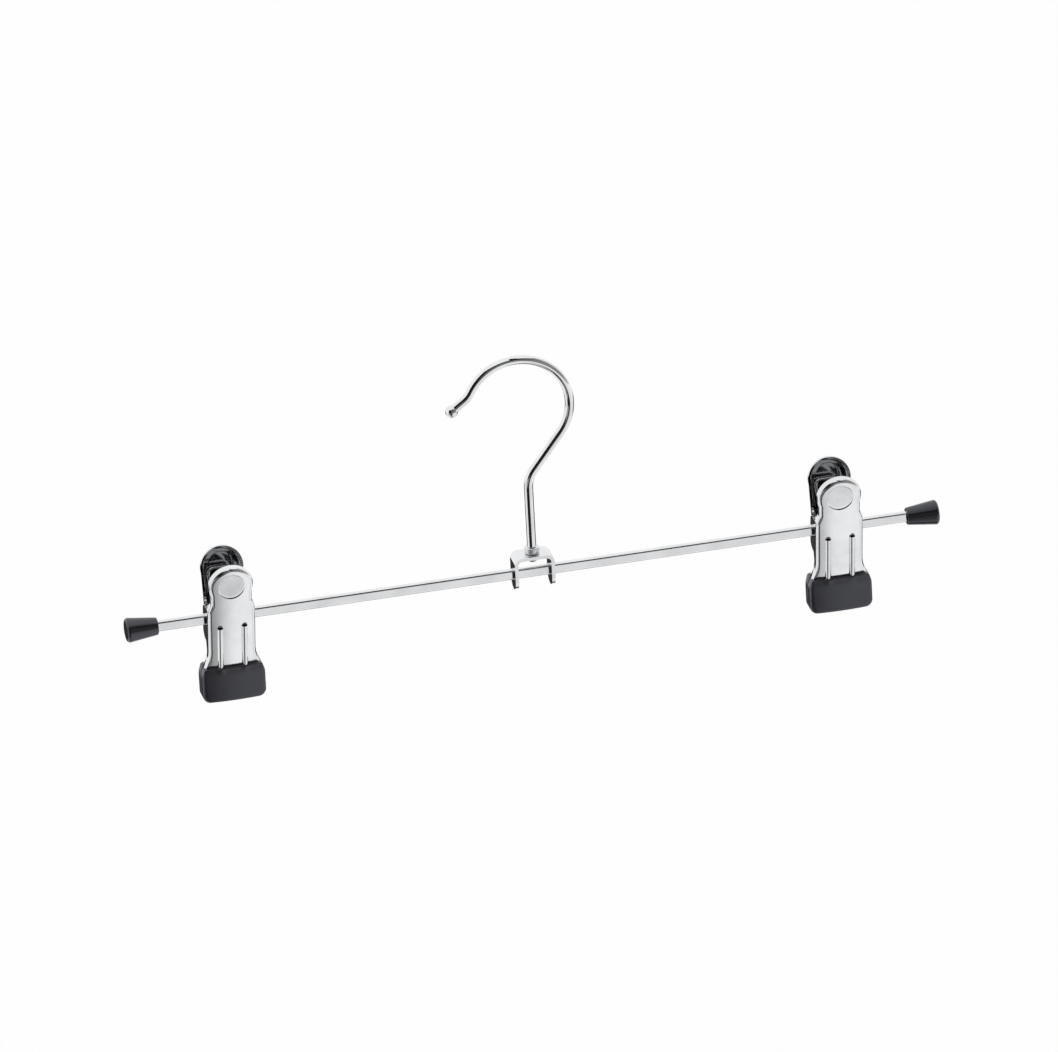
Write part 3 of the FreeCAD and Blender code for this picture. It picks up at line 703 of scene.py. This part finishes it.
@dataclass
class Boot:
    """A dipped tip on one jaw: bowed outside, flat at the grip, its lip drawn in round plate and ribs.

    Heights are above the bar's axis, and depths are from the plane in which the jaws grip.

    Attributes:
        side: The clip that it is on.
        place: The jaw that it is on.
        half_width: Half of the width below the shoulder.
        half_top: Half of the width at the lip.
        top: Height of the lip.
        shoulder: Height at which the sides turn in.
        low: Height of the tip.
        top_corner: Radius of the corners at the lip.
        shoulder_corner: Radius of the turns at the shoulder.
        low_corner: Radius of the corners at the tip.
        inner: Depth of the grip face.
        outer: Depth of the outer face at its middle.
        bow: Fall of the outer face towards its sides.
        edge: Radius of the outer edge.
        lip: Radius of the outer edge at the lip.
        lip_fall: Fall of the outer face at the lip.
        rib_swell: Rise of the lip over a rib.
        rib_width: Distance from a rib's middle at which that rise has fallen to about a third.
        grip_edge: Radius of the edge at the grip face.
        dip: Fall of the lip's rim at a rib.
        spacing: Longest step along the rim.
        edge_steps: Steps round an edge.
        grip_shares: Sizes of the rings on the grip face, as shares of its rim.
        inner_rings: Steps from the middle of the outer face to its rim.
    """

    side: Side
    place: Place
    half_width: float = 0.0120
    half_top: float = 0.0109
    top: float = -0.01920
    shoulder: float = -0.02240
    low: float = -0.03300
    top_corner: float = 0.0012
    shoulder_corner: float = 0.006
    low_corner: float = 0.0028
    inner: float = 0.00015
    outer: float = 0.00482
    bow: float = 0.00080
    edge: float = 0.0012
    lip: float = 0.00030
    lip_fall: float = 0.00030
    rib_swell: float = 0.00025
    rib_width: float = 0.0013
    grip_edge: float = 0.0005
    dip: float = 0.00020
    spacing: float = 0.00035
    edge_steps: int = 6
    grip_shares: Sequence[float] = (0.15, 0.4, 0.7, 1.0)
    inner_rings: int = 16

    @property
    def centre(self) -> Vector:
        """Middle of the boot seen from the front."""
        return Vector((0.0, (self.top + self.low) / 2))

    @property
    def quarter(self) -> list[float]:
        """Angles of the steps round an edge."""
        return [math.pi / 2 * index / self.edge_steps for index in range(self.edge_steps + 1)]

    def near_top(self, point: Vector) -> float:
        """Runs from 0 at the shoulder to 1 at the lip."""
        share = max(0.0, min(1.0, (point.y - self.shoulder) / (self.top - self.shoulder)))
        return share * share * (3 - 2 * share)

    def near_rib(self, point: Vector) -> float:
        """Is 1 over the middle of a rib and falls to 0 beside it."""
        return math.exp(-(((abs(point.x) - RIB_SPACING / 2) / self.rib_width) ** 2))

    def face(self, point: Vector) -> float:
        """Depth of the outer face at a point seen from the front."""
        lip = self.near_top(point) * (self.rib_swell * self.near_rib(point) - self.lip_fall)
        return self.outer - self.bow * (point.x / self.half_width) ** 2 + lip

    def outline(self) -> list[Spot]:
        """The boot seen from the front.

        Returns:
            Points of its rim, each with the radius of the outer edge there.
        """
        top, shoulder, low = self.top_corner, self.shoulder_corner, self.low_corner
        corners = [
            (-self.half_top, self.top, top), (self.half_top, self.top, top),
            (self.half_width, self.shoulder, shoulder), (self.half_width, self.low, low),
            (-self.half_width, self.low, low), (-self.half_width, self.shoulder, shoulder),
        ]
        made = []
        for point in spaced(rounded_corners(corners), self.spacing):
            dip = self.dip * self.near_rib(point) if point.y > self.top - self.lip else 0.0
            radius = self.edge + (self.lip - self.edge) * self.near_top(point)
            made.append((Vector((point.x, point.y - dip)), radius))
        return made

    def build(self, finish: bpy.types.Material) -> bpy.types.Object:
        """Lofts the boot from the grip face round its edges to the bowed outer face.

        Args:
            finish: Material of the boot.

        Returns:
            The boot, riding on its jaw.
        """
        rim = self.outline()
        inward = []
        for index in range(len(rim)):
            run = rim[(index + 1) % len(rim)][0] - rim[index - 1][0]
            inward.append(Vector((run.y, -run.x)).normalized())
        rings = self.grip_rings(rim, inward) + self.outer_rings(rim, inward)
        return self.loft(rings, finish)

    def grip_rings(self, rim: Sequence[Spot], inward: Sequence[Vector]) -> list[list[Spot]]:
        """Rings from the middle of the grip face out to the boot's sides.

        Args:
            rim: The outline with its edge radii.
            inward: Direction to the inside at each point of the outline.

        Returns:
            The rings, each point with its depth.
        """
        centre = self.centre
        base = [point + side * self.grip_edge for (point, _), side in zip(rim, inward)]
        rings = [
            [(centre + (point - centre) * share, self.inner) for point in base]
            for share in self.grip_shares
        ]
        for turn in self.quarter[1:]:
            inset, rise = 1 - math.sin(turn), 1 - math.cos(turn)
            depth = self.inner + self.grip_edge * rise
            rings.append(
                [(point + side * self.grip_edge * inset, depth) for (point, _), side in zip(rim, inward)]
            )
        return rings

    def outer_rings(self, rim: Sequence[Spot], inward: Sequence[Vector]) -> list[list[Spot]]:
        """Rings from the boot's sides round the outer edge to the middle of the outer face.

        Args:
            rim: The outline with its edge radii.
            inward: Direction to the inside at each point of the outline.

        Returns:
            The rings, each point with its depth.
        """
        centre = self.centre
        rings = []
        for turn in self.quarter:
            inset, fall = 1 - math.cos(turn), 1 - math.sin(turn)
            places = [
                (point + side * radius * inset, radius) for (point, radius), side in zip(rim, inward)
            ]
            rings.append([(point, self.face(point) - radius * fall) for point, radius in places])
        last = [point + side * radius for (point, radius), side in zip(rim, inward)]
        for index in range(self.inner_rings - 1, 0, -1):
            places = [centre + (point - centre) * (index / self.inner_rings) for point in last]
            rings.append([(point, self.face(point)) for point in places])
        return rings

    def loft(self, rings: Sequence[Sequence[Spot]], finish: bpy.types.Material) -> bpy.types.Object:
        """Skins rings of points, closed by a point at each end.

        Args:
            rings: Points seen from the front, each with its depth.
            finish: Material of the boot.

        Returns:
            The boot.
        """
        offset = Vector((self.side.value * CLIP_MIDDLE, 0.0, -BAR_DROP))
        shell = bmesh.new()

        def corner(point: Vector, depth: float) -> bmesh.types.BMVert:
            """Adds a corner at a point seen from the front."""
            return shell.verts.new(offset + Vector((point.x, self.place.value * depth, point.y)))

        first, last = corner(self.centre, self.inner), corner(self.centre, self.outer)
        skins = [[corner(*spot) for spot in ring] for ring in rings]
        count = len(skins[0])
        for index in range(count):
            after = (index + 1) % count
            shell.faces.new((first, skins[0][index], skins[0][after]))
            shell.faces.new((last, skins[-1][after], skins[-1][index]))
            for inner, outer in zip(skins, skins[1:]):
                shell.faces.new((inner[index], outer[index], outer[after], inner[after]))
        bmesh.ops.recalc_face_normals(shell, faces=shell.faces)
        for face in shell.faces:
            face.smooth = True
        name = f"{self.side.word}_{self.place.word}"
        mesh = bpy.data.meshes.new(f"{name}_dipped_boot")
        shell.to_mesh(mesh)
        shell.free()
        mesh.materials.append(finish)
        made = new_piece(mesh.name, mesh)
        body = "lever" if self.place is Place.FRONT else "clip"
        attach(made, f"{self.side.word}_{body}")
        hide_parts(f"{name}_boot")
        return made


def rounded_corners(corners: Iterable[Point], steps: int = 10) -> list[Vector]:
    """Rounds the corners of a closed outline.

    Args:
        corners: Place and radius of each corner.
        steps: Steps round each corner.

    Returns:
        Points of the rounded outline.
    """
    given = [(Vector((across, up)), radius) for across, up, radius in corners]
    made: list[Vector] = []
    for index, (corner, radius) in enumerate(given):
        back = (given[index - 1][0] - corner).normalized()
        ahead = (given[(index + 1) % len(given)][0] - corner).normalized()
        half = math.acos(max(-1.0, min(1.0, back.dot(ahead)))) / 2
        centre = corner + (back + ahead).normalized() * (radius / math.sin(half))
        start = corner + back * (radius / math.tan(half)) - centre
        turn = math.pi - 2 * half
        arc = arc_points(centre.to_3d(), start.to_3d(), (-back).to_3d(), turn, steps)
        made += [point.to_2d() for point in arc]
    return made


def spaced(points: Sequence[Vector], spacing: float) -> list[Vector]:
    """Adds points along the long runs of a closed outline.

    Args:
        points: The outline.
        spacing: Longest step that is left.

    Returns:
        The filled outline.
    """
    made = []
    for index, point in enumerate(points):
        run = points[(index + 1) % len(points)] - point
        count = max(1, math.ceil(run.length / spacing))
        made += [point + run * (step / count) for step in range(count)]
    return made


@dataclass
class SpringClip:
    """One clip: two stamped jaws, their boots and the spring between them."""

    side: Side

    def build(
        self, nodes: Mapping[str, bpy.types.Object], plate: bpy.types.Material,
        dip: bpy.types.Material, wire: bpy.types.Material,
    ) -> None:
        """Makes the boots and the spring, and dresses the jaws.

        Args:
            nodes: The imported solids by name.
            plate: Finish of the jaws.
            dip: Finish of the boots.
            wire: Finish of the spring.
        """
        for place in Place:
            dress(nodes[f"{self.side.word}_{place.word}_jaw"], plate)
            LOG.info("built %s", Boot(self.side, place).build(dip).name)
        LOG.info("built %s", TorsionSpring(self.side).build(wire).name)


@dataclass
class HangerFrame:
    """The bar with its saddle, end caps and hook."""

    nodes: Mapping[str, bpy.types.Object]

    def build(
        self, bar: bpy.types.Material, saddle: bpy.types.Material,
        wire: bpy.types.Material, cap: bpy.types.Material,
    ) -> None:
        """Dresses the solids.

        Args:
            bar: Finish of the bar.
            saddle: Finish of the saddle.
            wire: Finish of the hook and its collar.
            cap: Finish of the end caps.
        """
        dress(self.nodes["bar"], bar)
        dress(self.nodes["saddle"], saddle)
        dress(self.nodes["hook"], wire)
        for side in Side:
            dress(self.nodes[f"{side.word}_end_cap"], cap)
        LOG.info("dressed bar, saddle, hook and end caps")


@dataclass(frozen=True)
class PhotoCamera:
    """A long lens at the photograph's viewing angle.

    Attributes:
        azimuth: Degrees that the view is turned to the left of the hanger's front.
        elevation: Degrees that it looks down.
        roll: Degrees that the picture is turned about its middle.
        distance: From the hanger to the lens.
        focal_px: Focal length in pixels of the frame.
        frame_px: Width and height of the frame in pixels.
        bar_px: Pixel on which the bar's middle falls.
        sensor: Width of the sensor in millimetres.
        clip_end: Farthest distance that shows.
    """

    azimuth: float = 11.97
    elevation: float = 25.64
    roll: float = 3.07
    distance: float = 8.0
    focal_px: float = 21549.0
    frame_px: Pair = (1058.0, 1052.0)
    bar_px: Pair = (533.0, 571.0)
    sensor: float = 36.0
    clip_end: float = 50.0

    def build(self) -> bpy.types.Object:
        """Makes the scene's camera.

        Returns:
            The camera.
        """
        turn, tilt, roll = (math.radians(angle) for angle in (self.azimuth, self.elevation, self.roll))
        right = Vector((math.cos(turn), -math.sin(turn), 0.0))
        level = Vector((math.sin(turn), math.cos(turn), 0.0))
        ahead = level * math.cos(tilt) - Vector((0.0, 0.0, math.sin(tilt)))
        up = right.cross(ahead)
        image_right = right * math.cos(roll) - up * math.sin(roll)
        image_up = right * math.sin(roll) + up * math.cos(roll)
        scale = self.distance / self.focal_px
        aside = (self.frame_px[0] / 2 - self.bar_px[0]) * scale
        above = (self.bar_px[1] - self.frame_px[1] / 2) * scale
        target = Vector((0.0, 0.0, -BAR_DROP)) + image_right * aside + image_up * above
        lens = bpy.data.cameras.new("photo_camera")
        lens.sensor_width = self.sensor
        lens.lens = self.focal_px * self.sensor / self.frame_px[0]
        lens.clip_end = self.clip_end
        camera = bpy.data.objects.new("photo_camera", lens)
        bpy.context.scene.collection.objects.link(camera)
        axes = Matrix((image_right, image_up, -ahead)).transposed().to_4x4()
        camera.matrix_world = Matrix.Translation(target - ahead * self.distance) @ axes
        bpy.context.scene.camera = camera
        return camera


@dataclass(frozen=True)
class Flag:
    """A grey sheet of the studio that only reflections see, as a patch of a sphere round the hanger.

    Attributes:
        name: Name of the sheet.
        azimuth: Its left and right end, in degrees from the hanger's front towards +X.
        elevation: Its lower and upper end, in degrees above the bar.
        tones: Its grey at the left and the right end.
        radius: Distance from the bar's middle.
        steps: Steps of its grid each way.
    """

    name: str
    azimuth: Pair
    elevation: Pair
    tones: Pair
    radius: float = 5.6
    steps: int = 16

    def build(self) -> bpy.types.Object:
        """Hangs the sheet.

        Returns:
            The sheet, which gives no light and no shadow.
        """
        mesh = self.mesh()
        mesh.materials.append(self.cloth())
        sheet = new_piece(self.name, mesh)
        sheet.visible_camera = False
        sheet.visible_diffuse = False
        sheet.visible_shadow = False
        return sheet

    def mesh(self) -> bpy.types.Mesh:
        """Makes the grid, with the grey of each point as an attribute.

        Returns:
            The mesh.
        """
        corners, faces, tones = [], [], []
        for row in range(self.steps + 1):
            tilt = math.radians(self.between(self.elevation, row))
            level = math.cos(tilt) * self.radius
            height = math.sin(tilt) * self.radius - BAR_DROP
            for column in range(self.steps + 1):
                turn = math.radians(self.between(self.azimuth, column))
                corners.append((level * math.sin(turn), -level * math.cos(turn), height))
                tones.append(self.between(self.tones, column))
                if row and column:
                    here = len(corners) - 1
                    below = here - self.steps - 1
                    faces.append((here, here - 1, below - 1, below))
        mesh = bpy.data.meshes.new(self.name)
        mesh.from_pydata(corners, [], faces)
        mesh.attributes.new("tone", "FLOAT", "POINT").data.foreach_set("value", tones)
        return mesh

    def cloth(self) -> bpy.types.Material:
        """Makes a material that shows the grey of each point.

        Returns:
            The material.
        """
        made = bpy.data.materials.new(self.name)
        made.use_nodes = True
        graph = Graph(made.node_tree)
        tone = graph.add("ShaderNodeAttribute", {"attribute_name": "tone"}, output="Fac")
        graph.surface(graph.add("ShaderNodeEmission", None, {"Color": tone, "Strength": 1.0}))
        return made

    def between(self, span: Pair, step: int) -> float:
        """A value that runs evenly along the sheet's grid."""
        return span[0] + (span[1] - span[0]) * step / self.steps


@dataclass(frozen=True)
class Softbox:
    """A square soft lamp that reflections do not see.

    Attributes:
        name: Name of the lamp.
        place: Where it hangs.
        size: Its side.
        power: Its power in watts.
        target: What it points at.
    """

    name: str
    place: Point
    size: float
    power: float
    target: Point = (0.0, 0.0, -0.08)

    def build(self) -> bpy.types.Object:
        """Hangs the lamp.

        Returns:
            The lamp.
        """
        light = bpy.data.lights.new(self.name, "AREA")
        light.size = self.size
        light.energy = self.power
        lamp = bpy.data.objects.new(self.name, light)
        lamp.visible_glossy = False
        bpy.context.scene.collection.objects.link(lamp)
        aim = (Vector(self.target) - Vector(self.place)).to_track_quat("-Z", "Y")
        lamp.matrix_world = Matrix.Translation(self.place) @ aim.to_matrix().to_4x4()
        return lamp


@dataclass
class Studio:
    """White sweep, soft lamps, and grey flags that draw the lines in the chrome.

    Attributes:
        floor_height: Height of the floor.
        floor_half: Half of the floor's side.
        floor_colour: Colour of the floor where light falls on it.
        white_share: How far the floor shows plain white to the rays that see it.
        ambient: Strength of the surroundings as light. Looked at, or in a mirror, they have 1.
        flags: The sheets, first those above the bar, then those below and behind it.
        lamps: The lamps.
    """

    floor_height: float = -6.0
    floor_half: float = 60.0
    floor_colour: Colour = (0.9, 0.9, 0.9)
    white_share: float = 0.97
    ambient: float = 0.7
    flags: Sequence[Flag] = (
        # Above: the opened jaws, the hook's slanted stretch and loop, the line on the bar's upper edge
        Flag("open_jaw_flag", (-20.0, 48.0), (4.0, 26.0), (0.16, 0.34), radius=5.5),
        Flag("upper_left_flag", (-68.0, -14.0), (-6.0, 50.0), (0.01, 0.01)),
        Flag("upper_middle_flag", (-14.0, 4.0), (-6.0, 50.0), (0.02, 0.06)),
        Flag("bar_line_flag", (4.0, 28.0), (-6.0, 82.0), (0.01, 0.01)),
        Flag("upper_right_flag", (28.0, 96.0), (-6.0, 54.0), (0.06, 0.5)),
        # Below on the left: the dark core of the hook's shank and the greys round it
        Flag("core_flag", (-66.0, 3.0), (-30.0, -21.0), (0.01, 0.01)),
        Flag("core_column_flag", (-26.0, -14.0), (-21.0, -6.0), (0.01, 0.01)),
        Flag("core_left_flag", (-66.0, -26.0), (-21.0, -6.0), (0.42, 0.3)),
        Flag("core_right_flag", (-14.0, 3.0), (-21.0, -6.0), (0.06, 0.2)),
        Flag("core_under_flag", (-66.0, 3.0), (-41.0, -30.0), (0.42, 0.06)),
        # Below on the right: the pale face of the bar
        Flag("bar_flag", (3.0, 60.0), (-34.0, -6.0), (0.84, 0.88)),
        # Lower: the shading of the jaws' faces from left to right
        Flag("plate_edge_flag", (-62.0, -30.0), (-62.0, -41.0), (1.0, 0.0)),
        Flag("plate_left_flag", (-30.0, -11.0), (-62.0, -41.0), (0.0, 0.0)),
        Flag("plate_rise_flag", (-11.0, 13.0), (-62.0, -41.0), (0.0, 1.0)),
        Flag("plate_right_flag", (36.0, 60.0), (-62.0, -41.0), (0.95, 0.5)),
        # Underneath and behind: the dark outlines
        Flag("under_flag", (-180.0, 180.0), (-90.0, -72.0), (0.1, 0.1)),
        Flag("rear_flag", (100.0, 230.0), (-33.0, -19.0), (0.04, 0.03)),
    )
    lamps: Sequence[Softbox] = (
        Softbox("top_softbox", place=(-0.2, 0.9, 1.3), size=1.6, power=14.0),
        Softbox("left_softbox", place=(-1.3, -0.6, 0.7), size=0.9, power=8.0),
        Softbox("right_softbox", place=(1.4, -0.5, 0.5), size=0.9, power=5.0),
    )

    def build(self) -> None:
        """Makes the floor, the flags, the lamps and the world."""
        self.floor()
        for fitting in (*self.flags, *self.lamps):
            LOG.info("hung %s", fitting.build().name)
        self.world()

    def white(self, graph: Graph) -> Value:
        """1 for the rays that see the studio's white, 0 for those that only carry light."""
        rays = [graph.add("ShaderNodeLightPath", output=sight.value) for sight in Sight]
        return reduce(Value.largest, rays)

    def floor(self) -> None:
        """Makes the pale floor."""
        half, low = self.floor_half, self.floor_height
        mesh = bpy.data.meshes.new("floor")
        corners = [(-half, -half, low), (half, -half, low), (half, half, low), (-half, half, low)]
        mesh.from_pydata(corners, [], [(0, 1, 2, 3)])
        paint = bpy.data.materials.new("pale_floor")
        paint.use_nodes = True
        graph = Graph(paint.node_tree)
        matt = graph.add("ShaderNodeBsdfDiffuse", None, {"Color": (*self.floor_colour, 1.0)})
        glow = graph.add("ShaderNodeEmission", None, {"Color": WHITE, "Strength": 1.0})
        amount = self.white(graph) * self.white_share
        graph.surface(graph.add("ShaderNodeMixShader", None, {0: amount, 1: matt, 2: glow}))
        mesh.materials.append(paint)
        new_piece("floor", mesh)

    def world(self) -> None:
        """Makes the white surroundings."""
        world = bpy.data.worlds.new("white_studio")
        bpy.context.scene.world = world
        world.use_nodes = True
        graph = Graph(world.node_tree)
        strength = self.ambient + self.white(graph) * (1 - self.ambient)
        glow = graph.add("ShaderNodeBackground", None, {"Color": WHITE, "Strength": strength})
        graph.add("ShaderNodeOutputWorld", None, {"Surface": glow})


def main() -> None:
    """Builds the hanger's looks and the studio round it."""
    logging.basicConfig(level=logging.INFO, format="%(name)s: %(message)s")
    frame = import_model()
    bpy.context.scene.view_settings.view_transform = "Standard"
    nodes = frame["nodes"]
    bar_plate = PlatedFinish("drawn_bar_chrome", drawn=(0.02, 1.0, 1.0)).material()
    saddle_plate = PlatedFinish("pressed_saddle_chrome", roughness=0.13).material()
    hook_plate = PlatedFinish(
        "bent_wire_chrome", roughness=0.07, ripple_depth=1.5e-6, collar=0.35,
    ).material()
    jaw_plate = PlatedFinish("stamped_jaw_chrome", roughness=0.15, hollow=1.0, disc=0.16).material()
    dip = MouldedFinish("dipped_boot_vinyl").material()
    cap = MouldedFinish(
        "moulded_cap_plastic", deep=(0.003, 0.003, 0.0035), worn=(0.007, 0.007, 0.008),
        roughness=0.26, spread=0.06, specular=1.0, flow_depth=8.0e-6,
    ).material()
    wire = PlatedFinish(
        "spring_wire_steel", pale=(0.5, 0.5, 0.51), dull=(0.36, 0.36, 0.37), roughness=0.2,
    ).material()
    PhotoCamera().build()
    HangerFrame(nodes).build(bar_plate, saddle_plate, hook_plate, cap)
    for side in Side:
        SpringClip(side).build(nodes, jaw_plate, dip, wire)
    Studio().build()


if __name__ == "__main__":
    main()
